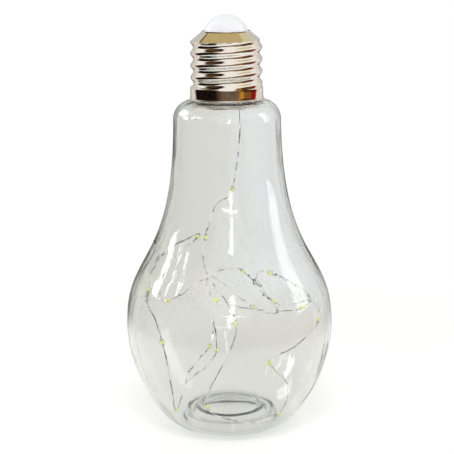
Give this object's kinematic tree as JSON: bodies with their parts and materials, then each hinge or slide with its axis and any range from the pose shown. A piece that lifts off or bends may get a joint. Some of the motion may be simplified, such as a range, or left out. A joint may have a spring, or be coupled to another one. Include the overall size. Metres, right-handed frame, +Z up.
{
  "type": "bulb-shaped table lamp",
  "caption": "Table lamp in the shape of a light bulb: clear glass body, plated screw cap with a domed push button, and a string of small lights on thin wire inside.",
  "frame": {"origin": "middle of the standing ring, on the surface that the lamp stands on", "axes": "+Z up along the axis of the bulb and its cap; the picture is seen from -Y"},
  "size_m": [0.11, 0.11, 0.2185],
  "materials": {
    "clear_glass": "clear blown glass, smooth",
    "seal_rubber": "soft translucent grey",
    "plated_cap": "bright plating with a warm cast",
    "inner_plastic": "black moulded plastic",
    "cell_steel": "nickel-plated steel",
    "screw_steel": "zinc-plated steel",
    "board_laminate": "green laminate",
    "resistor_body": "black ceramic",
    "white_plastic": "smooth white",
    "silver_wire": "bare silver twin wire",
    "light_resin": "clear resin drop over a yellow chip"
  },
  "bodies": {
    "glass": {"glass_bulb": "clear_glass"},
    "seal": {"seal_ring": "seal_rubber"},
    "cap": {"cap_shell": "plated_cap", "cap_liner": "inner_plastic", "battery_holder": "inner_plastic", "battery_cell_1": "cell_steel", "battery_cell_2": "cell_steel", "battery_cell_3": "cell_steel", "contact_plate": "cell_steel", "contact_spring": "cell_steel", "battery_cover": "inner_plastic", "cover_screw": "screw_steel", "board_screw_1": "screw_steel", "board_screw_2": "screw_steel", "wire_grommet": "seal_rubber", "circuit_board": "board_laminate", "series_resistor": "resistor_body", "push_switch": "inner_plastic", "string_wire": "silver_wire", "led_01": "light_resin", "led_02": "light_resin", "led_03": "light_resin", "led_04": "light_resin", "led_05": "light_resin", "led_06": "light_resin", "led_07": "light_resin", "led_08": "light_resin", "led_09": "light_resin", "led_10": "light_resin", "led_11": "light_resin", "led_12": "light_resin", "led_13": "light_resin", "led_14": "light_resin", "led_15": "light_resin", "led_16": "light_resin", "led_17": "light_resin", "led_18": "light_resin", "led_19": "light_resin", "led_20": "light_resin"},
    "button": {"push_button": "white_plastic", "switch_plunger": "white_plastic"}
  },
  "joints": [
    {"name": "cap_lift", "type": "slide", "parent": "glass", "child": "seal", "axis": [0, 0, 1], "range_m": [0, 0.00525]},
    {"name": "cap_turn", "type": "hinge", "parent": "seal", "child": "cap", "pos_m": [0, 0, 0.1767], "axis": [0, 0, 1], "range_deg": [0, 451]},
    {"name": "button_press", "type": "slide", "parent": "cap", "child": "button", "axis": [0, 0, -1], "range_m": [0, 0.0018], "stiffness_N_per_m": 500, "springref_m": -0.001}
  ],
  "couplings": [
    {"joint": "cap_turn", "follows": "cap_lift", "rad_per_m": 1496}
  ]
}
